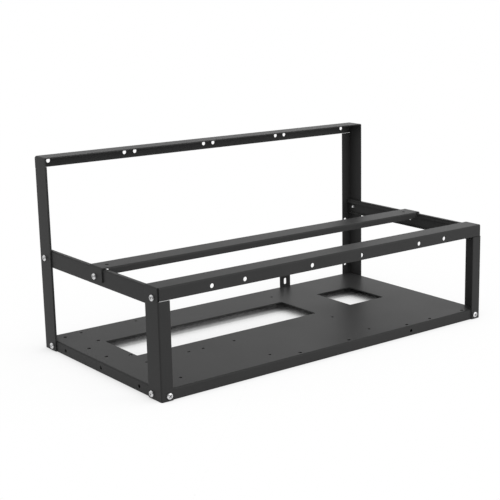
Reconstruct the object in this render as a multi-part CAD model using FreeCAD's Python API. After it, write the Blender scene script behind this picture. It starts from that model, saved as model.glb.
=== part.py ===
import FreeCAD, Part
import math
import os

# Open-air mining rig frame: a folded tray, two folded hoops, two rails and a middle bar of black sheet steel.
# Millimetres, +Z up, +Y to the rear. The origin is on the floor under the middle of the frame.

# Overall sizes
WIDTH = 500.0
DEPTH = 268.0
REAR_HEIGHT = 240.0
FRONT_HEIGHT = 128.5

# Sheet and folds
SHEET = 1.5
BEND_INSIDE = 0.5
BEND_OUTSIDE = BEND_INSIDE + SHEET

# Hoops: one strip with a wide web and a narrow flange, folded to an upside-down U
HOOP_WEB = 26.5
HOOP_FLANGE = 15.0
HOOP_SEAM = 0.6
REAR_CORNER_GAP = 1.0

# Tray
TRAY_HEIGHT = 13.2
TRAY_FIT = 0.1
CUTOUT_CORNER = 1.0
BIG_CUTOUT_WIDTH = 272.0
BIG_CUTOUT_DEPTH = 74.0
BIG_CUTOUT_LEFT_INSET = 46.5
BIG_CUTOUT_REAR_INSET = 66.7
SMALL_CUTOUT_WIDTH = 60.5
SMALL_CUTOUT_DEPTH = 72.0
SMALL_CUTOUT_RIGHT_INSET = 59.75
SMALL_CUTOUT_REAR_INSET = 68.0

# Slotted tab folded up from the tray's rear edge, and the hole in the front flange in line with it
TAB_RIGHT_INSET = 125.6
TAB_WIDTH = 18.0
TAB_HEIGHT = 32.0
TAB_CORNER = 4.0
TAB_RELIEF = 1.5
SLOT_WIDTH = 4.6
SLOT_LENGTH = 9.4
SLOT_HEIGHT = 20.8

# Rails: strips with a narrow lip folded in at the top, which lie against the hoops
RAIL_HEIGHT = 21.3
RAIL_LIP = 5.3
RAIL_FIT = 0.2
RAIL_TOP_GAP = 0.6
RAIL_END_GAP = 1.0

# Middle bar
BAR_FRONT = -18.0
BAR_DEPTH = 30.0
BAR_FLANGE = 8.2
BAR_FLANGE_GAP = 1.5
BAR_TAB = 17.0
BAR_LEFT_HOLE_INSET = 14.5
BAR_RIGHT_HOLE_INSET = 19.0

# Cross-recess pan head screws; they repeat, so they are many-sided instead of round
SCREW_DIAMETER = 4.0
SCREW_LENGTH = 6.0
MIDDLE_SCREW_LENGTH = 3.5
SCREW_SIDES = 12
HEAD_DIAMETER = 7.6
HEAD_HEIGHT = 2.6
HEAD_RIM = 1.0
HEAD_FLAT = 5.0
RECESS_SPAN = 4.2
RECESS_WIDTH = 0.9
RECESS_DEPTH = 1.3
THREAD_FIT = 0.1
SCREW_CLEARANCE = 0.5

# Screw places
RAIL_SCREW_RISE = 11.15
RAIL_SCREW_REAR_INSET = 13.2
RAIL_SCREW_FRONT_INSET = 10.7
RAIL_SCREW_MIDDLE_Y = 0.0
FOOT_SCREW_HEIGHT = 6.2
FOOT_SIDE_SCREW_INSET = 19.0
FOOT_FACE_SCREW_INSET = 9.8

# Open holes
FAN_HOLE = 5.3
FAN_PITCH = 105.0
FAN_SIZE = 120.0
FAN_COUNT = 4
FAN_HOLE_DROP = 7.5
FRONT_HOLE = 5.3
FRONT_HOLE_DROP = 9.1
FRONT_HOLE_PLACES = (38.4, 135.6, 180.3)
UPRIGHT_HOLE = 5.0
UPRIGHT_HOLE_INSET = 10.3
UPRIGHT_HOLE_HEIGHTS = (28.0, 95.5)
BAR_HOLE = 4.5
FLANGE_HOLE = 4.2
FLANGE_HOLE_PLACES = (-85.0, 0.0, 85.0)

# Board standoff holes, in columns counted from the board's port side and rows from its rear
BOARD_HOLE = 3.6
BOARD_LEFT_INSET = 41.66
BOARD_REAR_INSET = 14.3
BOARD_COLUMN_2 = 157.48
BOARD_COLUMN_SMALL = 203.2
BOARD_COLUMN_EXTRA = 223.52
BOARD_COLUMN_3 = 281.94
BOARD_PORT_STEP = 22.86
BOARD_ROW_2 = 154.94
BOARD_ROW_3 = 227.33

# Holes for drives that stand on edge
DRIVE_HOLE = 4.5
LARGE_DRIVE_STEPS = (0.0, 41.3, 101.6)
SMALL_DRIVE_STEPS = (0.0, 76.6)
DRIVE_ROW_INSET = 8.4
LARGE_DRIVE_ROW_RIGHT_INSET = 25.9
SMALL_DRIVE_ROW_X = -52.2
LARGE_DRIVE_COLUMN_INSET = 17.5
LARGE_DRIVE_COLUMN_REAR_INSET = 18.2
SMALL_DRIVE_COLUMN_INSET = 41.8
SMALL_DRIVE_COLUMN_REAR_INSET = 57.2

# Places that follow from the sizes above
SIDE = WIDTH / 2
FRONT = -DEPTH / 2
REAR = DEPTH / 2
TRAY_SIDE = SIDE - SHEET - TRAY_FIT
TRAY_FRONT = FRONT + SHEET + TRAY_FIT
TRAY_REAR = REAR - SHEET - TRAY_FIT
BIG_CUTOUT_LEFT = BIG_CUTOUT_LEFT_INSET - SIDE
SMALL_CUTOUT_LEFT = SIDE - SMALL_CUTOUT_RIGHT_INSET - SMALL_CUTOUT_WIDTH
TAB_X = SIDE - TAB_RIGHT_INSET
BOARD_X = BOARD_LEFT_INSET + BOARD_COLUMN_3 - SIDE
BOARD_Y = REAR - BOARD_REAR_INSET
RAIL_TOP = FRONT_HEIGHT - SHEET - RAIL_TOP_GAP
RAIL_BOTTOM = RAIL_TOP - RAIL_HEIGHT
RAIL_OUTER = SIDE - SHEET - RAIL_FIT
RAIL_SCREW_HEIGHT = RAIL_BOTTOM + RAIL_SCREW_RISE
RAIL_SCREW_PLACES = (REAR - RAIL_SCREW_REAR_INSET, RAIL_SCREW_MIDDLE_Y, FRONT + RAIL_SCREW_FRONT_INSET)
FOOT_SIDE_PLACES = (REAR - FOOT_SIDE_SCREW_INSET, FRONT + FOOT_SIDE_SCREW_INSET)
FOOT_FACE_X = SIDE - FOOT_FACE_SCREW_INSET
THREAD_HOLE = SCREW_DIAMETER + THREAD_FIT
PASS_HOLE = SCREW_DIAMETER + SCREW_CLEARANCE

X_AXIS = FreeCAD.Vector(1, 0, 0)
Y_AXIS = FreeCAD.Vector(0, 1, 0)
Z_AXIS = FreeCAD.Vector(0, 0, 1)


def vector(x, y, z):
    return FreeCAD.Vector(x, y, z)


def box(x_range, y_range, z_range):
    size = [high - low for low, high in (x_range, y_range, z_range)]
    return Part.makeBox(*size, vector(x_range[0], y_range[0], z_range[0]))


def line(start, end):
    return Part.LineSegment(start, end).toShape()


def arc(start, middle, end):
    return Part.Arc(start, middle, end).toShape()


def fuse(pieces):
    """Join touching pieces of one sheet into one clean solid."""
    return pieces[0].multiFuse(pieces[1:]).removeSplitter()


def cut(body, tools):
    return body.cut(Part.makeCompound(tools))


def hole(diameter, x, y, z, axis):
    """A drill right through the sheet at a point, along an axis."""
    reach = 3 * SHEET
    return Part.makeCylinder(diameter / 2, 2 * reach, vector(x, y, z) - axis * reach, axis)


def fold(place, flange, sweep):
    """A bend and the flange after it: place maps (in along the web, out along the flange) to the frame."""
    bend = BEND_OUTSIDE
    outer = bend - bend * math.sqrt(0.5)
    inner = bend - BEND_INSIDE * math.sqrt(0.5)
    edges = [
        arc(place(bend, 0), place(outer, outer), place(0, bend)),
        line(place(0, bend), place(0, flange)),
        line(place(0, flange), place(SHEET, flange)),
        line(place(SHEET, flange), place(SHEET, bend)),
        arc(place(SHEET, bend), place(inner, inner), place(bend, SHEET)),
        line(place(bend, SHEET), place(bend, 0)),
    ]
    return Part.Face(Part.Wire(edges)).extrude(sweep)


def arch(height, y_low, y_high):
    """The hoop's web: the sides and the top in one bent strip, open at the floor."""
    bend = BEND_OUTSIDE
    skew = math.sqrt(0.5)

    def outline(inset, radius):
        side = SIDE - inset
        top = height - inset
        turn = radius * (1 - skew)
        left_foot = vector(-side, y_low, 0)
        left_bend = vector(-side, y_low, height - bend)
        left_top = vector(bend - SIDE, y_low, top)
        right_top = vector(SIDE - bend, y_low, top)
        right_bend = vector(side, y_low, height - bend)
        right_foot = vector(side, y_low, 0)
        left_middle = vector(turn - side, y_low, top - turn)
        right_middle = vector(side - turn, y_low, top - turn)
        edges = [
            line(left_foot, left_bend),
            arc(left_bend, left_middle, left_top),
            line(left_top, right_top),
            arc(right_top, right_middle, right_bend),
            line(right_bend, right_foot),
        ]
        return edges, left_foot, right_foot

    outer, outer_left, outer_right = outline(0, bend)
    inner, inner_left, inner_right = outline(SHEET, BEND_INSIDE)
    feet = [line(outer_left, inner_left), line(outer_right, inner_right)]
    wire = Part.Wire(Part.__sortEdges__(outer + inner + feet))
    return Part.Face(wire).extrude(Y_AXIS * (y_high - y_low))


def hoop(height, face_y, inward):
    """One strip folded to an upside-down U, with a flange on the face; the corners are notched."""
    bend = BEND_OUTSIDE
    web_ends = sorted((face_y + inward * bend, face_y + inward * HOOP_WEB))
    bar_half = SIDE - bend
    leg_length = height - HOOP_FLANGE - HOOP_SEAM
    pieces = [arch(height, *web_ends)]

    def bar_place(u, v):
        return vector(-bar_half, face_y + inward * u, height - v)

    pieces.append(fold(bar_place, HOOP_FLANGE, X_AXIS * 2 * bar_half))
    for side in (-1, 1):
        def leg_place(u, v, side=side):
            return vector(side * (SIDE - v), face_y + inward * u, 0)

        pieces.append(fold(leg_place, HOOP_FLANGE, Z_AXIS * leg_length))
    return fuse(pieces)


def foot_holes(diameter, face_y, side_y):
    """Screw holes at the foot of both legs of a hoop, in the side and in the face."""
    tools = []
    for side in (-1, 1):
        tools.append(hole(diameter, side * SIDE, side_y, FOOT_SCREW_HEIGHT, X_AXIS))
        tools.append(hole(diameter, side * FOOT_FACE_X, face_y, FOOT_SCREW_HEIGHT, Y_AXIS))
    return tools


def rear_ears():
    """The ends of the rear bar's flange, which reach behind the legs so that no slit shows at the corners."""
    ears = []
    for side in (-1, 1):
        ears.append(box(
            sorted((side * (SIDE - BEND_OUTSIDE), side * (SIDE - REAR_CORNER_GAP))),
            (REAR - SHEET, REAR),
            (REAR_HEIGHT - HOOP_FLANGE, REAR_HEIGHT - BEND_OUTSIDE),
        ))
    return ears


def rear_hoop():
    tools = foot_holes(PASS_HOLE, REAR, FOOT_SIDE_PLACES[0])
    fan_z = REAR_HEIGHT - FAN_HOLE_DROP
    for fan in range(FAN_COUNT):
        fan_x = FAN_SIZE * (fan - (FAN_COUNT - 1) / 2)
        for end in (-1, 1):
            tools.append(hole(FAN_HOLE, fan_x + end * FAN_PITCH / 2, REAR, fan_z, Y_AXIS))
    for side in (-1, 1):
        tools.append(hole(PASS_HOLE, side * SIDE, RAIL_SCREW_PLACES[0], RAIL_SCREW_HEIGHT, X_AXIS))
        for height in UPRIGHT_HOLE_HEIGHTS:
            tools.append(hole(UPRIGHT_HOLE, side * (SIDE - UPRIGHT_HOLE_INSET), REAR, height, Y_AXIS))
    return cut(fuse([hoop(REAR_HEIGHT, REAR, -1)] + rear_ears()), tools)


def front_hoop():
    tools = foot_holes(PASS_HOLE, FRONT, FOOT_SIDE_PLACES[1])
    hole_z = FRONT_HEIGHT - FRONT_HOLE_DROP
    for side in (-1, 1):
        tools.append(hole(PASS_HOLE, side * SIDE, RAIL_SCREW_PLACES[2], RAIL_SCREW_HEIGHT, X_AXIS))
        for place in FRONT_HOLE_PLACES:
            tools.append(hole(FRONT_HOLE, side * place, FRONT, hole_z, Y_AXIS))
    return cut(hoop(FRONT_HEIGHT, FRONT, 1), tools)


def rear_tab():
    """The tab that is folded up from the tray's rear edge, with round top corners and a slot."""
    left = TAB_X - TAB_WIDTH / 2
    under = TRAY_HEIGHT - SHEET

    def place(u, v):
        return vector(left, TRAY_REAR - u, under + v)

    tab = fold(place, TAB_HEIGHT - under, X_AXIS * TAB_WIDTH)
    corners = [
        edge for edge in tab.Edges
        if edge.BoundBox.ZMin > TAB_HEIGHT - SHEET and edge.BoundBox.YLength > SHEET / 2
    ]
    tab = tab.makeFillet(TAB_CORNER, corners)
    half_run = (SLOT_LENGTH - SLOT_WIDTH) / 2
    slot = [hole(SLOT_WIDTH, TAB_X, TRAY_REAR, SLOT_HEIGHT + end * half_run, Y_AXIS) for end in (-1, 1)]
    slot.append(box(
        (TAB_X - SLOT_WIDTH / 2, TAB_X + SLOT_WIDTH / 2),
        (TRAY_REAR - 2 * SHEET, TRAY_REAR + SHEET),
        (SLOT_HEIGHT - half_run, SLOT_HEIGHT + half_run),
    ))
    return tab.cut(fuse(slot))


def tray_folds():
    """The four flanges that are folded down, with the rear one parted for the tab."""
    bend = BEND_OUTSIDE
    pieces = []
    run = TRAY_REAR - TRAY_FRONT - 2 * bend
    for side in (-1, 1):
        def side_place(u, v, side=side):
            return vector(side * (TRAY_SIDE - u), TRAY_FRONT + bend, TRAY_HEIGHT - v)

        pieces.append(fold(side_place, TRAY_HEIGHT, Y_AXIS * run))

    def front_place(u, v):
        return vector(bend - TRAY_SIDE, TRAY_FRONT + u, TRAY_HEIGHT - v)

    pieces.append(fold(front_place, TRAY_HEIGHT, X_AXIS * 2 * (TRAY_SIDE - bend)))
    parting = TAB_WIDTH / 2 + TAB_RELIEF
    for start, end in ((bend - TRAY_SIDE, TAB_X - parting), (TAB_X + parting, TRAY_SIDE - bend)):
        def rear_place(u, v, start=start):
            return vector(start, TRAY_REAR - u, TRAY_HEIGHT - v)

        pieces.append(fold(rear_place, TRAY_HEIGHT, X_AXIS * (end - start)))
    return pieces


def cutout(left, rear, width, depth):
    """A rectangular opening with small round corners, cut right through the tray's top."""
    block = box(
        (left, left + width),
        (rear - depth, rear),
        (TRAY_HEIGHT - 2 * SHEET, TRAY_HEIGHT + SHEET),
    )
    upright = [edge for edge in block.Edges if edge.BoundBox.ZLength > SHEET]
    return block.makeFillet(CUTOUT_CORNER, upright)


def board_places():
    """Standoff places of the standard boards that the tray takes."""
    column_2 = BOARD_X - BOARD_COLUMN_2
    column_3 = BOARD_X - BOARD_COLUMN_3
    column_small = BOARD_X - BOARD_COLUMN_SMALL
    column_extra = BOARD_X - BOARD_COLUMN_EXTRA
    row_2 = BOARD_Y - BOARD_ROW_2
    row_3 = BOARD_Y - BOARD_ROW_3
    places = [(BOARD_X, BOARD_Y - BOARD_PORT_STEP), (column_small, BOARD_Y)]
    places += [(column_2, BOARD_Y), (column_3, BOARD_Y)]
    places += [(column, row_2) for column in (BOARD_X, column_2, column_small, column_extra, column_3)]
    places += [(column, row_3) for column in (BOARD_X, column_2, column_3)]
    return places


def drive_places():
    """Places of the drive holes: a row behind the front edge and two columns at the left."""
    row_y = FRONT + DRIVE_ROW_INSET
    large_row_x = SIDE - LARGE_DRIVE_ROW_RIGHT_INSET - max(LARGE_DRIVE_STEPS)
    large_column_x = LARGE_DRIVE_COLUMN_INSET - SIDE
    large_column_y = REAR - LARGE_DRIVE_COLUMN_REAR_INSET - max(LARGE_DRIVE_STEPS)
    small_column_x = SMALL_DRIVE_COLUMN_INSET - SIDE
    small_column_y = REAR - SMALL_DRIVE_COLUMN_REAR_INSET - max(SMALL_DRIVE_STEPS)
    places = [(large_row_x + step, row_y) for step in LARGE_DRIVE_STEPS]
    places += [(SMALL_DRIVE_ROW_X + step, row_y) for step in SMALL_DRIVE_STEPS]
    places += [(large_column_x, large_column_y + step) for step in LARGE_DRIVE_STEPS]
    places += [(small_column_x, small_column_y + step) for step in SMALL_DRIVE_STEPS]
    return places


def base_tray():
    bend = BEND_OUTSIDE
    plate = box(
        (bend - TRAY_SIDE, TRAY_SIDE - bend),
        (TRAY_FRONT + bend, TRAY_REAR - bend),
        (TRAY_HEIGHT - SHEET, TRAY_HEIGHT),
    )
    tray = fuse([plate, rear_tab()] + tray_folds())
    tools = [
        cutout(BIG_CUTOUT_LEFT, REAR - BIG_CUTOUT_REAR_INSET, BIG_CUTOUT_WIDTH, BIG_CUTOUT_DEPTH),
        cutout(SMALL_CUTOUT_LEFT, REAR - SMALL_CUTOUT_REAR_INSET, SMALL_CUTOUT_WIDTH, SMALL_CUTOUT_DEPTH),
        hole(FLANGE_HOLE, TAB_X, TRAY_FRONT, FOOT_SCREW_HEIGHT, Y_AXIS),
    ]
    tools += [hole(BOARD_HOLE, x, y, TRAY_HEIGHT, Z_AXIS) for x, y in board_places()]
    tools += [hole(DRIVE_HOLE, x, y, TRAY_HEIGHT, Z_AXIS) for x, y in drive_places()]
    tools += foot_holes(THREAD_HOLE, TRAY_REAR, FOOT_SIDE_PLACES[0])
    tools += foot_holes(THREAD_HOLE, TRAY_FRONT, FOOT_SIDE_PLACES[1])
    for side in (-1, 1):
        for y in FLANGE_HOLE_PLACES:
            tools.append(hole(FLANGE_HOLE, side * TRAY_SIDE, y, FOOT_SCREW_HEIGHT, X_AXIS))
    return cut(tray, tools)


def rail(side):
    """A rail with a lip along its top and a tapped hole for each of its screws."""
    start = FRONT + SHEET + RAIL_END_GAP
    end = REAR - SHEET - RAIL_END_GAP

    def place(u, v):
        return vector(side * (RAIL_OUTER - u), start, RAIL_TOP - v)

    plate = fold(place, RAIL_HEIGHT, Y_AXIS * (end - start))
    lip = box(
        sorted((side * (RAIL_OUTER - BEND_OUTSIDE), side * (RAIL_OUTER - RAIL_LIP))),
        (start, end),
        (RAIL_TOP - SHEET, RAIL_TOP),
    )
    tools = [hole(THREAD_HOLE, side * RAIL_OUTER, y, RAIL_SCREW_HEIGHT, X_AXIS) for y in RAIL_SCREW_PLACES]
    return cut(fuse([plate, lip]), tools)


def middle_bar():
    """A bar that lies across the rails: a front flange between them and an end tab outside each."""
    bend = BEND_OUTSIDE
    rear = BAR_FRONT + BAR_DEPTH
    top = FRONT_HEIGHT
    pieces = [box((bend - SIDE, SIDE - bend), (BAR_FRONT + bend, rear), (top - SHEET, top))]
    for side in (-1, 1):
        def tab_place(u, v, side=side):
            return vector(side * (SIDE - u), BAR_FRONT + bend, top - v)

        pieces.append(fold(tab_place, BAR_TAB, Y_AXIS * (rear - BAR_FRONT - bend)))
    flange_half = RAIL_OUTER - RAIL_LIP - BAR_FLANGE_GAP

    def flange_place(u, v):
        return vector(-flange_half, BAR_FRONT + u, top - v)

    pieces.append(fold(flange_place, BAR_FLANGE, X_AXIS * 2 * flange_half))
    hole_y = BAR_FRONT + BAR_DEPTH / 2
    hole_places = (BAR_LEFT_HOLE_INSET - SIDE, SIDE - BAR_RIGHT_HOLE_INSET)
    tools = [hole(BAR_HOLE, x, hole_y, top, Z_AXIS) for x in hole_places]
    for side in (-1, 1):
        tools.append(hole(PASS_HOLE, side * SIDE, RAIL_SCREW_MIDDLE_Y, RAIL_SCREW_HEIGHT, X_AXIS))
    return cut(fuse(pieces), tools)


def ring(diameter, z):
    """A many-sided outline across a screw."""
    radius = diameter / 2
    turns = [2 * math.pi * number / SCREW_SIDES for number in range(SCREW_SIDES + 1)]
    corners = [vector(radius * math.cos(turn), radius * math.sin(turn), z) for turn in turns]
    return Part.makePolygon(corners)


def screw(seat, outward, length):
    """A pan head screw with a cross recess; seat is the point under its head."""
    shank = Part.Face(ring(SCREW_DIAMETER, -length)).extrude(Z_AXIS * length)
    rim = Part.Face(ring(HEAD_DIAMETER, 0)).extrude(Z_AXIS * HEAD_RIM)
    crown = Part.makeLoft([ring(HEAD_DIAMETER, HEAD_RIM), ring(HEAD_FLAT, HEAD_HEIGHT)], True, True)
    body = fuse([shank, rim, crown])
    span = RECESS_SPAN / 2
    half = RECESS_WIDTH / 2
    floor = (HEAD_HEIGHT - RECESS_DEPTH, 2 * HEAD_HEIGHT)
    cross = fuse([box((-span, span), (-half, half), floor), box((-half, half), (-span, span), floor)])
    body = body.cut(cross)
    body.Placement = FreeCAD.Placement(seat, FreeCAD.Rotation(Z_AXIS, outward))
    return body


def rail_screws(y, length):
    return [screw(vector(side * SIDE, y, RAIL_SCREW_HEIGHT), X_AXIS * side, length) for side in (-1, 1)]


def foot_screws(face_y, outward, side_y):
    screws = []
    for side in (-1, 1):
        side_seat = vector(side * SIDE, side_y, FOOT_SCREW_HEIGHT)
        face_seat = vector(side * FOOT_FACE_X, face_y, FOOT_SCREW_HEIGHT)
        screws.append(screw(side_seat, X_AXIS * side, SCREW_LENGTH))
        screws.append(screw(face_seat, Y_AXIS * outward, SCREW_LENGTH))
    return screws


def main():
    pieces = {
        "base_tray": base_tray(),
        "rear_hoop": rear_hoop(),
        "front_hoop": front_hoop(),
        "left_rail": rail(-1),
        "right_rail": rail(1),
        "middle_bar": middle_bar(),
        "rear_rail_screws": Part.makeCompound(rail_screws(RAIL_SCREW_PLACES[0], SCREW_LENGTH)),
        "middle_bar_screws": Part.makeCompound(rail_screws(RAIL_SCREW_PLACES[1], MIDDLE_SCREW_LENGTH)),
        "front_rail_screws": Part.makeCompound(rail_screws(RAIL_SCREW_PLACES[2], SCREW_LENGTH)),
        "rear_foot_screws": Part.makeCompound(foot_screws(REAR, 1, FOOT_SIDE_PLACES[0])),
        "front_foot_screws": Part.makeCompound(foot_screws(FRONT, -1, FOOT_SIDE_PLACES[1])),
    }
    os.makedirs("parts", exist_ok=True)
    for name, shape in pieces.items():
        shape.exportStep("parts/" + name + ".step")
        print(name, len(shape.Solids), "solids", shape.isValid(), round(shape.Volume), "mm3")


main()
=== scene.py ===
import math

import bmesh
import bpy
from mathutils import Euler, Matrix, Vector


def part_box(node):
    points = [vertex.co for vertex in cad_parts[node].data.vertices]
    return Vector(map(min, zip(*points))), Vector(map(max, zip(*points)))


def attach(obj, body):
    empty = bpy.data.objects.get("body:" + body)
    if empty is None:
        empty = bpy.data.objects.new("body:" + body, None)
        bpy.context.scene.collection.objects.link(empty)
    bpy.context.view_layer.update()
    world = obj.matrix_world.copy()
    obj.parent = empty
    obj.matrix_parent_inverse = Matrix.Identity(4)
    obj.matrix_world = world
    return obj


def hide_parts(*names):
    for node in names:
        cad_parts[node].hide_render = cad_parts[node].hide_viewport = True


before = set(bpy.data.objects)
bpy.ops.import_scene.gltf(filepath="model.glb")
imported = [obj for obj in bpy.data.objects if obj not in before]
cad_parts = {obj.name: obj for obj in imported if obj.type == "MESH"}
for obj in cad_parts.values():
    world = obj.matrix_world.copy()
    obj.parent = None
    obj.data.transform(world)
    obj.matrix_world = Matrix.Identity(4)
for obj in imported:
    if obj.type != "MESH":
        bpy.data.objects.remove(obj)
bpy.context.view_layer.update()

bl_info = {
    "name": "Mining Rig Frame",
    "version": (1, 0, 0),
    "blender": (4, 5, 0),
    "location": "View3D > Sidebar > Rig Frame",
    "description": "Dresses an open-air mining rig frame: coated sheets, plated screws, a white studio",
    "category": "Object",
}

BODY = "root"
MILLIMETRE = 0.001

# Attributes: recess faces that get painted shade, and the way each screw faces and is turned
PAINTED_SHADE_MASK = "grime_mask"
OUTWARD = "outward"
TURN = "turn"

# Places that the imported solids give
HOOP_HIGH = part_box("rear_hoop")[1]
FRONT_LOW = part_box("front_hoop")[0]
RAIL_SCREW_LOW, RAIL_SCREW_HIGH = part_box("rear_rail_screws")
SIDE = HOOP_HIGH.x
HEAD_DIAMETER = RAIL_SCREW_HIGH.z - RAIL_SCREW_LOW.z
HEAD_HEIGHT = RAIL_SCREW_HIGH.x - SIDE

# Points closer than this are one, and points are put in order to this many digits of a metre
MERGE_DISTANCE = 1e-6
ORDER_DIGITS = 7

# Cut edges are rounded by the coat: angles that tell flat faces, folds and cut edges apart
FLAT_ANGLE = math.radians(0.3)
CUT_ANGLE = math.radians(25.0)
EDGE_SEGMENTS = 2
EDGE_PROFILE = 0.5

# Shading follows the large faces, which look flat beside their rounded edges
LARGE_FACE_WEIGHT = 100

# The folded sheet, the hoops' flange, the seam under the bar's flange, and how finely a fold is divided
SHEET_THICKNESS = 1.5 * MILLIMETRE
FLANGE_WIDTH = 15.0 * MILLIMETRE
SEAM_WIDTH = 0.6 * MILLIMETRE
FOLD_STEPS = 6

# Foot screws stand this far in from the hoop's side, which their group's box doesn't show
FOOT_FACE_INSET = 9.8 * MILLIMETRE

# Recesses stand at odd angles: the turn from one screw to the next, and from one group to the next
SCREW_TURN = math.radians(37.0)
GROUP_TURN = math.radians(23.0)

# Sizes of a screw that its node tree takes
SCREW_SIZES = (
    "Head", "Height", "Rim", "Shoulder",
    "Recess", "Recess Width", "Recess Depth",
    "Shank", "Length", "Pitch",
)

# How finely a screw's round parts are divided
HEAD_SIDES = 40
HEAD_STEPS = 12
CORE_SIDES = 24
COIL_STEPS = 20
RIDGE_SIDES = 6

# The recess's floor as a share of its mouth, the thread's crest as a share of its pitch, and how many
# crests the core lies under the thread's outside
RECESS_TAPER = 0.55
CREST_SHARE = 0.4
CORE_DEPTH = 1.5

# The coat's fine grain, and the slow drift of its tone and gloss
GRAIN_DETAIL = 2.0
GRAIN_STRENGTH = 0.35
DRIFT_SCALE = 18.0
DRIFT_DETAIL = 3.0
DRIFT_OF_TONE = 0.1
DRIFT_OF_GLOSS = 0.04

# The plating's uneven haze
HAZE_SCALE = 900.0
HAZE_DETAIL = 3.0
HAZE_OF_GLOSS = 0.08
HAZE_STRENGTH = 0.2
HAZE_DEPTH = 0.01 * MILLIMETRE

# The camera stands where the picture was taken from; the picture is a crop, so the lens is shifted
IMAGE_SIZE = 500
FOCAL_PIXELS = 1193.8
AXIS_PIXEL = (367.86, 246.86)
CAMERA_PLACE = (-0.8950, -1.1941, 0.4544)
CAMERA_PITCH = math.radians(12.934)
CAMERA_YAW = math.radians(41.657)
CAMERA_ROLL = math.radians(0.049)
SENSOR_WIDTH = 36.0

# Square lamps, and the point in the frame that they face
LAMP_SIZE = 1.2
LAMP_AIM = Vector((0.0, 0.0, 0.08))
FRONT_LAMP_PLACE = Vector((0.6, -1.5, 0.8))
REAR_LAMP_PLACE = Vector((1.6, 1.2, 0.6))

# In gloss the studio gets darker on this side of the frame: on the floor between these distances from its
# middle, in metres, and in the background between these cosines
DARK_SIDE = Vector((-0.71, -0.71, 0.0))
DARK_START = 0.3
DARK_FULL = 0.7

# Rays that find how far the frame covers a spot of the floor
SHADE_SAMPLES = 16
WHITE = (1.0, 1.0, 1.0, 1.0)


class CoatSettings(bpy.types.PropertyGroup):
    """Black powder coat on the folded sheets"""

    colour: bpy.props.FloatVectorProperty(
        name="Colour",
        description="Colour of the coat",
        subtype="COLOR",
        size=3,
        min=0.0,
        max=1.0,
        default=(0.043, 0.043, 0.043),
    )
    roughness: bpy.props.FloatProperty(
        name="Roughness",
        description="How matt the coat is",
        subtype="FACTOR",
        min=0.0,
        max=1.0,
        default=0.42,
    )
    shine: bpy.props.FloatProperty(
        name="Shine",
        description="How much the coat mirrors at all",
        subtype="FACTOR",
        min=0.0,
        max=1.0,
        default=0.08,
    )
    grain: bpy.props.FloatProperty(
        name="Grain",
        description="Width of the coat's fine bumps",
        unit="LENGTH",
        default=0.6 * MILLIMETRE,
    )
    grain_depth: bpy.props.FloatProperty(
        name="Grain Depth",
        description="Height of the coat's fine bumps",
        unit="LENGTH",
        default=0.02 * MILLIMETRE,
    )
    edge: bpy.props.FloatProperty(
        name="Edge",
        description="Radius that the coat leaves on cut edges",
        unit="LENGTH",
        default=0.25 * MILLIMETRE,
    )


class RailSettings(bpy.types.PropertyGroup):
    """Lips that are folded in along the rails"""

    top: bpy.props.FloatProperty(
        name="Top",
        description="Height of the rails' top over the floor",
        unit="LENGTH",
        default=126.6 * MILLIMETRE,
    )
    height: bpy.props.FloatProperty(
        name="Height",
        description="Height of a rail over both lips",
        unit="LENGTH",
        default=20.9 * MILLIMETRE,
    )
    upper_lip: bpy.props.FloatProperty(
        name="Upper Lip",
        description="Width of the upper lip",
        unit="LENGTH",
        default=5.3 * MILLIMETRE,
    )
    lower_lip: bpy.props.FloatProperty(
        name="Lower Lip",
        description="Width of the lower lip",
        unit="LENGTH",
        default=4.0 * MILLIMETRE,
    )
    bend: bpy.props.FloatProperty(
        name="Bend",
        description="Inner radius of the folds",
        unit="LENGTH",
        default=0.1 * MILLIMETRE,
    )


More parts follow.
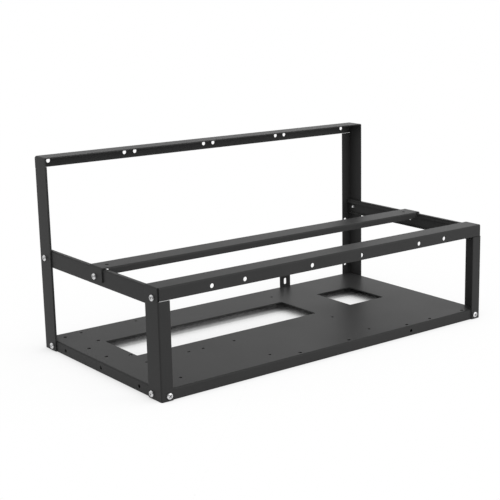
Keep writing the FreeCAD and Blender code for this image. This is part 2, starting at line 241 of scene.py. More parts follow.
class ScrewSettings(bpy.types.PropertyGroup):
    """Cross-recess pan head screws with bright plating"""

    colour: bpy.props.FloatVectorProperty(
        name="Colour",
        description="Colour of the plating",
        subtype="COLOR",
        size=3,
        min=0.0,
        max=1.0,
        default=(0.66, 0.66, 0.665),
    )
    roughness: bpy.props.FloatProperty(
        name="Roughness",
        description="How matt the plating is",
        subtype="FACTOR",
        min=0.0,
        max=1.0,
        default=0.26,
    )
    # Painted shade: how much the plating's colour is darkened in the recess, standing in for its shade
    painted_recess_shade: bpy.props.FloatProperty(
        name="Painted Recess Shade",
        description="How dark the recess is",
        subtype="FACTOR",
        min=0.0,
        max=1.0,
        default=0.15,
    )
    head: bpy.props.FloatProperty(
        name="Head",
        description="Diameter of the head",
        unit="LENGTH",
        default=HEAD_DIAMETER,
    )
    height: bpy.props.FloatProperty(
        name="Height",
        description="Height of the head",
        unit="LENGTH",
        default=HEAD_HEIGHT,
    )
    rim: bpy.props.FloatProperty(
        name="Rim",
        description="Height of the straight rim under the rounded edge",
        unit="LENGTH",
        default=0.9 * MILLIMETRE,
    )
    shoulder: bpy.props.FloatProperty(
        name="Shoulder",
        description="How far the rounded edge reaches in from the rim",
        unit="LENGTH",
        default=1.7 * MILLIMETRE,
    )
    recess: bpy.props.FloatProperty(
        name="Recess",
        description="Span of the cross recess",
        unit="LENGTH",
        default=4.4 * MILLIMETRE,
    )
    recess_width: bpy.props.FloatProperty(
        name="Recess Width",
        description="Width of each wing of the recess",
        unit="LENGTH",
        default=1.0 * MILLIMETRE,
    )
    recess_depth: bpy.props.FloatProperty(
        name="Recess Depth",
        description="Depth of the recess",
        unit="LENGTH",
        default=1.7 * MILLIMETRE,
    )
    shank: bpy.props.FloatProperty(
        name="Shank",
        description="Outer diameter of the thread",
        unit="LENGTH",
        default=4.0 * MILLIMETRE,
    )
    length: bpy.props.FloatProperty(
        name="Length",
        description="Length under the head",
        unit="LENGTH",
        default=6.0 * MILLIMETRE,
    )
    middle_length: bpy.props.FloatProperty(
        name="Middle Length",
        description="Length under the head of the shorter screws in the middle bar",
        unit="LENGTH",
        default=3.2 * MILLIMETRE,
    )
    pitch: bpy.props.FloatProperty(
        name="Pitch",
        description="Rise of one turn of the thread",
        unit="LENGTH",
        default=0.7 * MILLIMETRE,
    )


class StudioSettings(bpy.types.PropertyGroup):
    """White floor, soft light and camera"""

    sky: bpy.props.FloatProperty(
        name="Sky",
        description="Strength of the even light from all round",
        min=0.0,
        default=0.61,
    )
    front_lamp: bpy.props.FloatProperty(
        name="Front Lamp",
        description="Power of the lamp before the frame",
        subtype="POWER",
        min=0.0,
        default=10.6,
    )
    rear_lamp: bpy.props.FloatProperty(
        name="Rear Lamp",
        description="Power of the lamp behind on the right",
        subtype="POWER",
        min=0.0,
        default=1.0,
    )
    shadow_reach: bpy.props.FloatProperty(
        name="Shadow Reach",
        description="How far off the frame still shades the floor",
        unit="LENGTH",
        default=0.6,
    )
    shadow_softness: bpy.props.FloatProperty(
        name="Shadow Softness",
        description="How quickly the shade fades where the floor opens up",
        default=2.3,
    )
    shadow_depth: bpy.props.FloatProperty(
        name="Shadow Depth",
        description="How dark the shade is where the floor is covered",
        min=0.0,
        default=1.2,
    )
    shadow_lean: bpy.props.FloatProperty(
        name="Shadow Lean",
        description="How far the shade leans to the back, away from the front lamp",
        default=0.25,
    )
    dark_side: bpy.props.FloatProperty(
        name="Dark Side",
        description="How dark the studio's near left side is in gloss",
        subtype="FACTOR",
        min=0.0,
        max=1.0,
        default=0.7,
    )
    floor_colour: bpy.props.FloatVectorProperty(
        name="Floor Colour",
        description="Colour that the floor throws back on the frame",
        subtype="COLOR",
        size=3,
        min=0.0,
        max=1.0,
        default=(0.8, 0.8, 0.8),
    )
    floor_size: bpy.props.FloatProperty(
        name="Floor Size",
        description="Half the width of the floor",
        unit="LENGTH",
        default=30.0,
    )


class Wiring:
    """Adds nodes to a tree: a socket that is given as a value is linked, and any other value is set."""

    def __init__(self, tree):
        self.tree = tree

    def put(self, socket, value):
        if isinstance(value, bpy.types.NodeSocket):
            self.tree.links.new(value, socket)
        else:
            socket.default_value = value

    def add(self, kind, values=None, **settings):
        node = self.tree.nodes.new(kind)
        for name, value in settings.items():
            setattr(node, name, value)
        for key, value in (values or {}).items():
            self.put(node.inputs[key], value)
        return node

    def math(self, operation, *values):
        node = self.add("ShaderNodeMath", operation=operation)
        for socket, value in zip(node.inputs, values):
            self.put(socket, value)
        return node.outputs[0]


def plain_material(name):
    """An empty material, its wiring and its surface socket."""
    material = bpy.data.materials.new(name)
    material.use_nodes = True
    material.node_tree.nodes.clear()
    wiring = Wiring(material.node_tree)
    output = wiring.add("ShaderNodeOutputMaterial")
    return material, wiring, output.inputs["Surface"]


def powder_coat(coat):
    """Satin black powder coat: fine even bumps, with faint drifts of tone and gloss."""
    material, wiring, surface = plain_material("satin_black_coat")
    place = wiring.add("ShaderNodeTexCoord").outputs["Object"]
    grain = wiring.add("ShaderNodeTexNoise", {
        "Vector": place,
        "Scale": 1.0 / coat.grain,
        "Detail": GRAIN_DETAIL,
    })
    drift = wiring.add("ShaderNodeTexNoise", {
        "Vector": place,
        "Scale": DRIFT_SCALE,
        "Detail": DRIFT_DETAIL,
    })
    tone = wiring.add("ShaderNodeMix", data_type="RGBA")
    wiring.put(tone.inputs["Factor"], drift.outputs["Fac"])
    colour = Vector(coat.colour)
    wiring.put(tone.inputs["A"], (*(colour * (1.0 - DRIFT_OF_TONE)), 1.0))
    wiring.put(tone.inputs["B"], (*(colour * (1.0 + DRIFT_OF_TONE)), 1.0))
    gloss = wiring.add("ShaderNodeMapRange", {
        "Value": drift.outputs["Fac"],
        "To Min": coat.roughness - DRIFT_OF_GLOSS,
        "To Max": coat.roughness + DRIFT_OF_GLOSS,
    })
    bump = wiring.add("ShaderNodeBump", {
        "Strength": GRAIN_STRENGTH,
        "Distance": coat.grain_depth,
        "Height": grain.outputs["Fac"],
    })
    shader = wiring.add("ShaderNodeBsdfPrincipled", {
        "Base Color": tone.outputs["Result"],
        "Roughness": gloss.outputs["Result"],
        "Specular IOR Level": coat.shine,
        "Normal": bump.outputs["Normal"],
    })
    wiring.put(surface, shader.outputs["BSDF"])
    return material


def zinc_plate(screws):
    """Bright zinc plating with a faint uneven haze, and painted shade that darkens the recess."""
    material, wiring, surface = plain_material("bright_zinc_plate")
    place = wiring.add("ShaderNodeTexCoord").outputs["Object"]
    haze = wiring.add("ShaderNodeTexNoise", {
        "Vector": place,
        "Scale": HAZE_SCALE,
        "Detail": HAZE_DETAIL,
    })
    gloss = wiring.add("ShaderNodeMapRange", {
        "Value": haze.outputs["Fac"],
        "To Min": screws.roughness - HAZE_OF_GLOSS,
        "To Max": screws.roughness + HAZE_OF_GLOSS,
    })
    bump = wiring.add("ShaderNodeBump", {
        "Strength": HAZE_STRENGTH,
        "Distance": HAZE_DEPTH,
        "Height": haze.outputs["Fac"],
    })
    # Painted shade: the recess faces' colour is darkened to stand in for the shade in the recess
    painted_shade_share = wiring.add("ShaderNodeAttribute", attribute_name=PAINTED_SHADE_MASK)
    tone = wiring.add("ShaderNodeMix", data_type="RGBA")
    wiring.put(tone.inputs["Factor"], painted_shade_share.outputs["Fac"])
    colour = Vector(screws.colour)
    wiring.put(tone.inputs["A"], (*colour, 1.0))
    wiring.put(tone.inputs["B"], (*(colour * (1.0 - screws.painted_recess_shade)), 1.0))
    shader = wiring.add("ShaderNodeBsdfPrincipled", {
        "Base Color": tone.outputs["Result"],
        "Metallic": 1.0,
        "Roughness": gloss.outputs["Result"],
        "Normal": bump.outputs["Normal"],
    })
    wiring.put(surface, shader.outputs["BSDF"])
    return material


def shared_material(name, make, settings):
    """The material of that name, made the first time that it is asked for."""
    return bpy.data.materials.get(name) or make(settings)


def new_piece(context, name, mesh):
    piece = bpy.data.objects.new(name, mesh)
    context.scene.collection.objects.link(piece)
    return piece


def settle(context, piece):
    """Turn the piece's modifiers into a plain mesh."""
    context.view_layer.update()
    evaluated = piece.evaluated_get(context.evaluated_depsgraph_get())
    mesh = bpy.data.meshes.new_from_object(evaluated)
    piece.modifiers.clear()
    spare = piece.data
    piece.data = mesh
    bpy.data.meshes.remove(spare)


def fold_lip(shape, outer, edge, up, width, bend):
    """End a rail's strip below or above its edge and fold a lip inwards there."""
    side = 1 if outer > 0 else -1
    reach = SHEET_THICKNESS + bend
    centre = Vector((outer - side * reach, 0.0, edge - up * reach))
    everything = shape.verts[:] + shape.edges[:] + shape.faces[:]
    kept_side = (0, 0, -up)
    bmesh.ops.bisect_plane(shape, geom=everything, plane_co=centre, plane_no=kept_side, clear_inner=True)
    rim = [line for line in shape.edges if line.is_boundary]
    turn = -up * side * math.pi / 2
    folded = bmesh.ops.spin(shape, geom=rim, cent=centre, axis=(0, 1, 0), angle=turn, steps=FOLD_STEPS)
    end = [item for item in folded["geom_last"] if isinstance(item, bmesh.types.BMEdge)]
    lip = bmesh.ops.extrude_edge_only(shape, edges=end)["geom"]
    points = [item for item in lip if isinstance(item, bmesh.types.BMVert)]
    bmesh.ops.translate(shape, verts=points, vec=(-side * (width - reach), 0, 0))
    bmesh.ops.holes_fill(shape, edges=[line for line in shape.edges if line.is_boundary])
    bmesh.ops.recalc_face_normals(shape, faces=shape.faces)


def fix_order(shape):
    """Put points and faces in the order of their places, so that every run gives the same mesh."""
    points = sorted(shape.verts, key=lambda point: point.co.to_tuple(ORDER_DIGITS))
    number = {point: index for index, point in enumerate(points)}
    faces = []
    for face in shape.faces:
        corners = [number[point] for point in face.verts]
        first = corners.index(min(corners))
        faces.append(corners[first:] + corners[:first])
    mesh = bpy.data.meshes.new("ordered")
    mesh.from_pydata([point.co.to_tuple(ORDER_DIGITS) for point in points], [], sorted(faces))
    shape.clear()
    shape.from_mesh(mesh)
    bpy.data.meshes.remove(mesh)


def fold_rail(shape, node, scene):
    """Fold both lips of a rail sharper than its solid has them; the solid lacks the lower one."""
    rails = scene.rig_rails
    low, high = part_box(node)
    outer = high.x if high.x > 0 else low.x
    fold_lip(shape, outer, rails.top, 1, rails.upper_lip, rails.bend)
    fold_lip(shape, outer, rails.top - rails.height, -1, rails.lower_lip, rails.bend)
    fix_order(shape)


def close_seams(shape, node, scene):
    """Draw the seams at the rear hoop's upper corners closer, by what rounding their edges takes off."""
    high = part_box(node)[1]
    inner_face = high.y - SHEET_THICKNESS - MERGE_DISTANCE
    flange_edge = high.z - FLANGE_WIDTH
    for point in shape.verts:
        in_flange = point.co.y > inner_face and point.co.z > flange_edge - MERGE_DISTANCE
        if in_flange and abs(point.co.x) > SIDE - SHEET_THICKNESS:
            point.co.x += math.copysign(2 * scene.rig_coat.edge, point.co.x)
        if abs(point.co.z - flange_edge + SEAM_WIDTH) < MERGE_DISTANCE:
            point.co.z += scene.rig_coat.edge


def coated_sheet(context, node, reshape=None):
    """A copy of a sheet, reshaped if need be, whose cut edges are rounded as the coat leaves them."""
    coat = context.scene.rig_coat
    shape = bmesh.new()
    shape.from_mesh(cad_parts[node].data)
    bmesh.ops.remove_doubles(shape, verts=shape.verts, dist=MERGE_DISTANCE)
    if reshape:
        reshape(shape, node, context.scene)
    bmesh.ops.dissolve_limit(shape, angle_limit=FLAT_ANGLE, verts=shape.verts, edges=shape.edges)
    cut_edges = [edge for edge in shape.edges if edge.calc_face_angle() > CUT_ANGLE]
    bmesh.ops.bevel(
        shape, geom=cut_edges, offset=coat.edge, offset_type="OFFSET", segments=EDGE_SEGMENTS,
        profile=EDGE_PROFILE, affect="EDGES", clamp_overlap=False,
    )
    for face in shape.faces:
        face.smooth = True
    mesh = bpy.data.meshes.new("coated_" + node)
    shape.to_mesh(mesh)
    shape.free()
    mesh.materials.append(shared_material("satin_black_coat", powder_coat, coat))
    piece = new_piece(context, "coated_" + node, mesh)
    normals = piece.modifiers.new("Flat Faces", "WEIGHTED_NORMAL")
    normals.weight = LARGE_FACE_WEIGHT
    settle(context, piece)
    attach(piece, BODY)
    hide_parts(node)


class RIGFRAME_OT_tray(bpy.types.Operator):
    """Coat the folded base tray"""

    bl_idname = "rig_frame.tray"
    bl_label = "Base Tray"

    def execute(self, context):
        coated_sheet(context, "base_tray")
        return {"FINISHED"}


class RIGFRAME_OT_hoops(bpy.types.Operator):
    """Close the rear hoop's seams and coat both hoops"""

    bl_idname = "rig_frame.hoops"
    bl_label = "Hoops"

    def execute(self, context):
        coated_sheet(context, "rear_hoop", close_seams)
        coated_sheet(context, "front_hoop")
        return {"FINISHED"}


class RIGFRAME_OT_rails(bpy.types.Operator):
    """Fold the lips of the two side rails and coat them"""

    bl_idname = "rig_frame.rails"
    bl_label = "Rails"

    def execute(self, context):
        for node in ("left_rail", "right_rail"):
            coated_sheet(context, node, fold_rail)
        return {"FINISHED"}


class RIGFRAME_OT_middle_bar(bpy.types.Operator):
    """Coat the bar across the rails"""

    bl_idname = "rig_frame.middle_bar"
    bl_label = "Middle Bar"

    def execute(self, context):
        coated_sheet(context, "middle_bar")
        return {"FINISHED"}


def screw_tree(material):
    """Geometry nodes that set one screw on every point, headed along the point's outward direction."""
    tree = bpy.data.node_groups.new("pan_head_screws", "GeometryNodeTree")
    interface = tree.interface
    interface.new_socket("Geometry", in_out="INPUT", socket_type="NodeSocketGeometry")
    for name in SCREW_SIZES:
        interface.new_socket(name, in_out="INPUT", socket_type="NodeSocketFloat")
    interface.new_socket("Geometry", in_out="OUTPUT", socket_type="NodeSocketGeometry")
    wiring = Wiring(tree)
    given = wiring.add("NodeGroupInput").outputs
    head = pan_head(wiring, given)
    shank = threaded_shank(wiring, given)
    screw = wiring.add("GeometryNodeJoinGeometry")
    for part in (shank, head):
        tree.links.new(part, screw.inputs["Geometry"])
    outward = wiring.add("GeometryNodeInputNamedAttribute", {"Name": OUTWARD}, data_type="FLOAT_VECTOR")
    turn = wiring.add("GeometryNodeInputNamedAttribute", {"Name": TURN}, data_type="FLOAT")
    aimed = wiring.add("FunctionNodeAlignRotationToVector", {
        "Vector": outward.outputs["Attribute"],
    }, axis="Z")
    twist = wiring.add("FunctionNodeAxisAngleToRotation", {
        "Axis": (0.0, 0.0, 1.0),
        "Angle": turn.outputs["Attribute"],
    })
    turned = wiring.add("FunctionNodeRotateRotation", {
        "Rotation": aimed.outputs["Rotation"],
        "Rotate By": twist.outputs["Rotation"],
    }, rotation_space="LOCAL")
    copies = wiring.add("GeometryNodeInstanceOnPoints", {
        "Points": given["Geometry"],
        "Instance": screw.outputs["Geometry"],
        "Rotation": turned.outputs["Rotation"],
    })
    real = wiring.add("GeometryNodeRealizeInstances", {"Geometry": copies.outputs["Instances"]})
    plated = wiring.add("GeometryNodeSetMaterial", {
        "Geometry": real.outputs["Geometry"],
        "Material": material,
    })
    wiring.add("NodeGroupOutput", {"Geometry": plated.outputs["Geometry"]})
    return tree


def spot_of_point(wiring):
    """X, Y and Z of each point."""
    position = wiring.add("GeometryNodeInputPosition").outputs["Position"]
    return wiring.add("ShaderNodeSeparateXYZ", {"Vector": position}).outputs


def pan_head(wiring, given):
    """A head with a straight rim, a rounded shoulder, a flat crown and a tapered cross recess."""
    radius = wiring.math("MULTIPLY", given["Head"], 0.5)
    half_height = wiring.math("MULTIPLY", given["Height"], 0.5)
    drum = wiring.add("GeometryNodeMeshCylinder", {
        "Vertices": HEAD_SIDES,
        "Side Segments": HEAD_STEPS,
        "Radius": radius,
        "Depth": given["Height"],
    }, fill_type="NGON")
    spot = spot_of_point(wiring)
    rise = wiring.math("ADD", spot["Z"], half_height)
    above_rim = wiring.math("SUBTRACT", rise, given["Rim"])
    shoulder_height = wiring.math("SUBTRACT", given["Height"], given["Rim"])
    share = wiring.add("ShaderNodeClamp", {"Value": wiring.math("DIVIDE", above_rim, shoulder_height)})
    squared = wiring.math("MULTIPLY", share.outputs["Result"], share.outputs["Result"])
    round_off = wiring.math("SUBTRACT", 1.0, wiring.math("SQRT", wiring.math("SUBTRACT", 1.0, squared)))
    inset = wiring.math("MULTIPLY", given["Shoulder"], round_off)
    shrink = wiring.math("SUBTRACT", 1.0, wiring.math("DIVIDE", inset, radius))
    rounded = wiring.add("ShaderNodeCombineXYZ", {
        "X": wiring.math("MULTIPLY", spot["X"], shrink),
        "Y": wiring.math("MULTIPLY", spot["Y"], shrink),
        "Z": rise,
    })
    head = wiring.add("GeometryNodeSetPosition", {
        "Geometry": drum.outputs["Mesh"],
        "Position": rounded.outputs["Vector"],
    })
    hollow = wiring.add("GeometryNodeMeshBoolean", {
        "Mesh 1": head.outputs["Geometry"],
    }, operation="DIFFERENCE")
    for quarter_turn in (0.0, math.pi / 2):
        wing = masked(wiring, recess_wing(wiring, given, quarter_turn))
        wiring.tree.links.new(wing, hollow.inputs["Mesh 2"])
    return sharpened(wiring, hollow.outputs["Mesh"])


def recess_wing(wiring, given, quarter_turn):
    """A bar across the head that narrows towards the recess's floor."""
    depth = wiring.math("MULTIPLY", given["Recess Depth"], 2.0)
    size = wiring.add("ShaderNodeCombineXYZ", {
        "X": given["Recess"],
        "Y": given["Recess Width"],
        "Z": depth,
    })
    bar = wiring.add("GeometryNodeMeshCube", {"Size": size.outputs["Vector"]})
    spot = spot_of_point(wiring)
    taper = wiring.add("ShaderNodeMapRange", {
        "Value": wiring.math("DIVIDE", spot["Z"], given["Recess Depth"]),
        "From Min": -1.0,
        "From Max": 0.0,
        "To Min": RECESS_TAPER,
        "To Max": 1.0,
    }, clamp=False)
    narrowed = wiring.add("ShaderNodeCombineXYZ", {
        "X": wiring.math("MULTIPLY", spot["X"], taper.outputs["Result"]),
        "Y": wiring.math("MULTIPLY", spot["Y"], taper.outputs["Result"]),
        "Z": wiring.math("ADD", spot["Z"], given["Height"]),
    })
    wing = wiring.add("GeometryNodeSetPosition", {
        "Geometry": bar.outputs["Mesh"],
        "Position": narrowed.outputs["Vector"],
    })
    turned = wiring.add("GeometryNodeTransform", {
        "Geometry": wing.outputs["Geometry"],
        "Rotation": Euler((0.0, 0.0, quarter_turn)),
    })
    return turned.outputs["Geometry"]


def threaded_shank(wiring, given):
    """A core with a round-crested thread wound along it."""
    outer = wiring.math("MULTIPLY", given["Shank"], 0.5)
    crest = wiring.math("MULTIPLY", given["Pitch"], CREST_SHARE)
    core = wiring.math("SUBTRACT", outer, wiring.math("MULTIPLY", crest, CORE_DEPTH))
    bar = wiring.add("GeometryNodeMeshCylinder", {
        "Vertices": CORE_SIDES,
        "Radius": core,
        "Depth": given["Length"],
    }, fill_type="NGON")
    middle = wiring.add("ShaderNodeCombineXYZ", {"Z": wiring.math("MULTIPLY", given["Length"], -0.5)})
    core_bar = wiring.add("GeometryNodeTransform", {
        "Geometry": bar.outputs["Mesh"],
        "Translation": middle.outputs["Vector"],
    })
    wound = wiring.math("SUBTRACT", given["Length"], given["Pitch"])
    coil = wiring.add("GeometryNodeCurveSpiral", {
        "Resolution": COIL_STEPS,
        "Rotations": wiring.math("DIVIDE", wound, given["Pitch"]),
        "Start Radius": wiring.math("SUBTRACT", outer, crest),
        "End Radius": wiring.math("SUBTRACT", outer, crest),
        "Height": wound,
    })
    ridge = wiring.add("GeometryNodeCurvePrimitiveCircle", {
        "Resolution": RIDGE_SIDES,
        "Radius": crest,
    }, mode="RADIUS")
    thread = wiring.add("GeometryNodeCurveToMesh", {
        "Curve": coil.outputs["Curve"],
        "Profile Curve": ridge.outputs["Curve"],
        "Fill Caps": True,
    })
    start = wiring.math("SUBTRACT", wiring.math("MULTIPLY", given["Pitch"], 0.5), given["Length"])
    lowered = wiring.add("ShaderNodeCombineXYZ", {"Z": start})
    placed = wiring.add("GeometryNodeTransform", {
        "Geometry": thread.outputs["Mesh"],
        "Translation": lowered.outputs["Vector"],
    })
    shank = wiring.add("GeometryNodeJoinGeometry")
    for part in (core_bar, placed):
        wiring.tree.links.new(part.outputs["Geometry"], shank.inputs["Geometry"])
    return sharpened(wiring, shank.outputs["Geometry"])


def masked(wiring, mesh):
    """Mark all faces as recess faces that get painted shade."""
    marked = wiring.add("GeometryNodeStoreNamedAttribute", {
        "Geometry": mesh,
        "Name": PAINTED_SHADE_MASK,
        "Value": 1.0,
    }, data_type="FLOAT", domain="FACE")
    return marked.outputs["Geometry"]


def sharpened(wiring, mesh):
    """Smooth faces that keep their sharp edges."""
    smooth = wiring.add("GeometryNodeSetShadeSmooth", {"Geometry": mesh})
    angle = wiring.add("GeometryNodeInputMeshEdgeAngle").outputs["Unsigned Angle"]
    creased = wiring.add("FunctionNodeCompare", {"A": angle, "B": CUT_ANGLE}, operation="GREATER_THAN")
    sharp = wiring.add("GeometryNodeSetShadeSmooth", {
        "Geometry": smooth.outputs["Geometry"],
        "Selection": creased.outputs["Result"],
        "Shade Smooth": False,
    }, domain="EDGE")
    return sharp.outputs["Geometry"]


def rail_seats(node):
    """Seat and direction of the two screws of a rail group, from the group's box."""
    low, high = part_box(node)
    y = (low.y + high.y) / 2
    z = (low.z + high.z) / 2
    return [(Vector((side * SIDE, y, z)), Vector((side, 0, 0))) for side in (-1, 1)]


def foot_seats(node, face_y, outward):
    """Seats and directions of the four screws at the feet of a hoop, in the sides and in the face."""
    low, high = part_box(node)
    z = (low.z + high.z) / 2
    inner = low.y if outward > 0 else high.y
    side_y = inner + outward * HEAD_DIAMETER / 2
    seats = []
    for side in (-1, 1):
        seats.append((Vector((side * SIDE, side_y, z)), Vector((side, 0, 0))))
        seats.append((Vector((side * (SIDE - FOOT_FACE_INSET), face_y, z)), Vector((0, outward, 0))))
    return seats


def screw_group(context, node, seats, tree, first_turn):
    """One piece with a screw on each seat; every screw is turned a little further than the last."""
    settings = context.scene.rig_screws
    mesh = bpy.data.meshes.new("plated_" + node)
    mesh.from_pydata([seat for seat, outward in seats], [], [])
    outward = mesh.attributes.new(OUTWARD, "FLOAT_VECTOR", "POINT")
    outward.data.foreach_set("vector", [value for seat, direction in seats for value in direction])
    turn = mesh.attributes.new(TURN, "FLOAT", "POINT")
    turn.data.foreach_set("value", [first_turn + index * SCREW_TURN for index in range(len(seats))])
    piece = new_piece(context, "plated_" + node, mesh)
    maker = piece.modifiers.new("Screws", "NODES")
    maker.node_group = tree
    for item in tree.interface.items_tree:
        if item.in_out == "INPUT" and item.socket_type == "NodeSocketFloat":
            short = item.name == "Length" and node == "middle_bar_screws"
            size = "middle_length" if short else item.name.lower().replace(" ", "_")
            maker[item.identifier] = getattr(settings, size)
    settle(context, piece)
    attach(piece, BODY)
    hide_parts(node)


class RIGFRAME_OT_screws(bpy.types.Operator):
    """Set the plated screws in the rails and feet"""

    bl_idname = "rig_frame.screws"
    bl_label = "Screws"

    def execute(self, context):
        tree = screw_tree(shared_material("bright_zinc_plate", zinc_plate, context.scene.rig_screws))
        rail_groups = ("rear_rail_screws", "middle_bar_screws", "front_rail_screws")
        groups = {node: rail_seats(node) for node in rail_groups}
        groups["rear_foot_screws"] = foot_seats("rear_foot_screws", HOOP_HIGH.y, 1)
        groups["front_foot_screws"] = foot_seats("front_foot_screws", FRONT_LOW.y, -1)
        for index, (node, seats) in enumerate(groups.items()):
            screw_group(context, node, seats, tree, index * GROUP_TURN)
        return {"FINISHED"}


def seen_directly(wiring):
    """1 for rays that show the studio itself: from the camera, in gloss or through glass."""
    path = wiring.add("ShaderNodeLightPath").outputs
    seen = wiring.math("MAXIMUM", path["Is Camera Ray"], path["Is Glossy Ray"])
    return wiring.math("MAXIMUM", seen, path["Is Transmission Ray"])


def gloss_tone(wiring, place, studio):
    """1 as a rule; in gloss it falls off towards the places on the studio's dark side."""
    facing = wiring.add("ShaderNodeVectorMath", {0: place, 1: DARK_SIDE}, operation="DOT_PRODUCT")
    darkness = wiring.add("ShaderNodeMapRange", {
        "Value": facing.outputs["Value"],
        "From Min": DARK_START,
        "From Max": DARK_FULL,
        "To Max": studio.dark_side,
    })
    glossy = wiring.add("ShaderNodeLightPath").outputs["Is Glossy Ray"]
    return wiring.math("SUBTRACT", 1.0, wiring.math("MULTIPLY", glossy, darkness.outputs["Result"]))


def white_floor(studio):
    """A white floor that throws plain light back; it darkens softly under the frame and behind it."""
    material, wiring, surface = plain_material("white_floor")
    bounce = wiring.add("ShaderNodeBsdfDiffuse", {"Color": (*studio.floor_colour, 1.0)})
    upward = wiring.add("ShaderNodeNewGeometry").outputs["Normal"]
    lean = Vector((0.0, -studio.shadow_lean, 0.0))
    leaning = wiring.add("ShaderNodeVectorMath", {0: upward, 1: lean}, operation="ADD").outputs["Vector"]
    tilted = wiring.add("ShaderNodeVectorMath", {0: leaning}, operation="NORMALIZE").outputs["Vector"]
    cover = wiring.add("ShaderNodeAmbientOcclusion", {
        "Distance": studio.shadow_reach,
        "Normal": tilted,
    }, samples=SHADE_SAMPLES)
    covered = wiring.math("SUBTRACT", 1.0, cover.outputs["AO"])
    shadow = wiring.math("POWER", covered, studio.shadow_softness)
    deepened = wiring.math("MULTIPLY", shadow, studio.shadow_depth)
    open_share = wiring.add("ShaderNodeClamp", {"Value": wiring.math("SUBTRACT", 1.0, deepened)})
    place = wiring.add("ShaderNodeTexCoord").outputs["Object"]
    tone = wiring.math("MULTIPLY", open_share.outputs["Result"], gloss_tone(wiring, place, studio))
    shown = wiring.add("ShaderNodeEmission", {"Strength": tone})
    mix = wiring.add("ShaderNodeMixShader", {"Fac": seen_directly(wiring)})
    wiring.put(mix.inputs[1], bounce.outputs["BSDF"])
    wiring.put(mix.inputs[2], shown.outputs["Emission"])
    wiring.put(surface, mix.outputs["Shader"])
    return material


def white_world(studio):
    """Even soft light from all round, in front of a white background."""
    world = bpy.data.worlds.new("white_studio")
    world.use_nodes = True
    world.node_tree.nodes.clear()
    wiring = Wiring(world.node_tree)
    light = wiring.add("ShaderNodeBackground", {"Color": WHITE, "Strength": studio.sky})
    direction = wiring.add("ShaderNodeTexCoord").outputs["Generated"]
    white = wiring.add("ShaderNodeBackground", {
        "Color": WHITE,
        "Strength": gloss_tone(wiring, direction, studio),
    })
    mix = wiring.add("ShaderNodeMixShader", {"Fac": seen_directly(wiring)})
    wiring.put(mix.inputs[1], light.outputs["Background"])
    wiring.put(mix.inputs[2], white.outputs["Background"])
    output = wiring.add("ShaderNodeOutputWorld")
    wiring.put(output.inputs["Surface"], mix.outputs["Shader"])
    return world


def soft_lamp(context, name, place, power):
    """A square lamp that faces the frame and stays out of the picture."""
    data = bpy.data.lights.new(name, "AREA")
    data.shape = "SQUARE"
    data.size = LAMP_SIZE
    data.energy = power
    lamp = new_piece(context, name, data)
    lamp.location = place
    lamp.rotation_euler = (LAMP_AIM - place).to_track_quat("-Z", "Y").to_euler()
    lamp.visible_camera = False


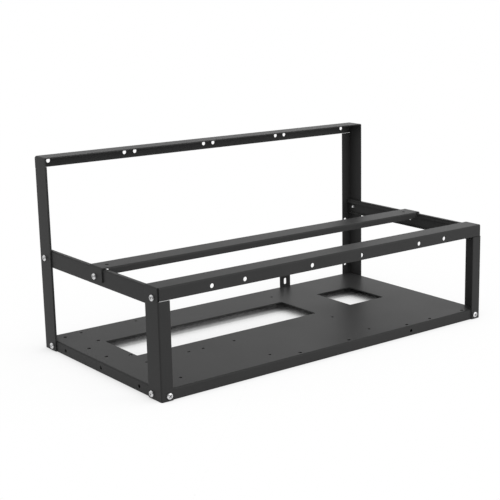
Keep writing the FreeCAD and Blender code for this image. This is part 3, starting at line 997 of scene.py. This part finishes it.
class RIGFRAME_OT_studio(bpy.types.Operator):
    """Add the white floor, the light and the camera"""

    bl_idname = "rig_frame.studio"
    bl_label = "Studio"

    def execute(self, context):
        scene = context.scene
        studio = scene.rig_studio
        half = studio.floor_size
        mesh = bpy.data.meshes.new("floor")
        corners = [(-half, -half, 0), (half, -half, 0), (half, half, 0), (-half, half, 0)]
        mesh.from_pydata(corners, [], [(0, 1, 2, 3)])
        mesh.materials.append(white_floor(studio))
        new_piece(context, "floor", mesh)
        scene.world = white_world(studio)
        soft_lamp(context, "front_lamp", FRONT_LAMP_PLACE, studio.front_lamp)
        soft_lamp(context, "rear_lamp", REAR_LAMP_PLACE, studio.rear_lamp)
        data = bpy.data.cameras.new("photo_camera")
        data.sensor_fit = "HORIZONTAL"
        data.sensor_width = SENSOR_WIDTH
        data.lens = FOCAL_PIXELS / IMAGE_SIZE * SENSOR_WIDTH
        data.shift_x = 0.5 - AXIS_PIXEL[0] / IMAGE_SIZE
        data.shift_y = AXIS_PIXEL[1] / IMAGE_SIZE - 0.5
        camera = new_piece(context, "photo_camera", data)
        camera.location = CAMERA_PLACE
        aim = Matrix.Rotation(-CAMERA_YAW, 3, "Z") @ Matrix.Rotation(math.pi / 2 - CAMERA_PITCH, 3, "X")
        camera.rotation_euler = (aim @ Matrix.Rotation(CAMERA_ROLL, 3, "Z")).to_euler()
        scene.camera = camera
        scene.view_settings.view_transform = "Standard"
        return {"FINISHED"}


PIECE_OPERATORS = (
    RIGFRAME_OT_tray,
    RIGFRAME_OT_hoops,
    RIGFRAME_OT_rails,
    RIGFRAME_OT_middle_bar,
    RIGFRAME_OT_screws,
    RIGFRAME_OT_studio,
)


class RIGFRAME_PT_sidebar(bpy.types.Panel):
    """Sizes, finishes and pieces of the frame"""

    bl_idname = "RIGFRAME_PT_sidebar"
    bl_label = "Rig Frame"
    bl_space_type = "VIEW_3D"
    bl_region_type = "UI"
    bl_category = "Rig Frame"

    def draw(self, context):
        layout = self.layout
        scene = context.scene
        for group in (scene.rig_coat, scene.rig_rails, scene.rig_screws, scene.rig_studio):
            box = layout.box()
            for name in group.bl_rna.properties.keys():
                if name not in ("rna_type", "name"):
                    box.prop(group, name)
        for operator in PIECE_OPERATORS:
            layout.operator(operator.bl_idname)


SETTINGS = (CoatSettings, RailSettings, ScrewSettings, StudioSettings)
CLASSES = SETTINGS + PIECE_OPERATORS + (RIGFRAME_PT_sidebar,)


def register():
    for kind in CLASSES:
        bpy.utils.register_class(kind)
    bpy.types.Scene.rig_coat = bpy.props.PointerProperty(type=CoatSettings)
    bpy.types.Scene.rig_rails = bpy.props.PointerProperty(type=RailSettings)
    bpy.types.Scene.rig_screws = bpy.props.PointerProperty(type=ScrewSettings)
    bpy.types.Scene.rig_studio = bpy.props.PointerProperty(type=StudioSettings)


def unregister():
    del bpy.types.Scene.rig_studio
    del bpy.types.Scene.rig_screws
    del bpy.types.Scene.rig_rails
    del bpy.types.Scene.rig_coat
    for kind in reversed(CLASSES):
        bpy.utils.unregister_class(kind)


def main():
    register()
    bpy.ops.rig_frame.tray()
    bpy.ops.rig_frame.hoops()
    bpy.ops.rig_frame.rails()
    bpy.ops.rig_frame.middle_bar()
    bpy.ops.rig_frame.screws()
    bpy.ops.rig_frame.studio()


if __name__ == "__main__":
    main()
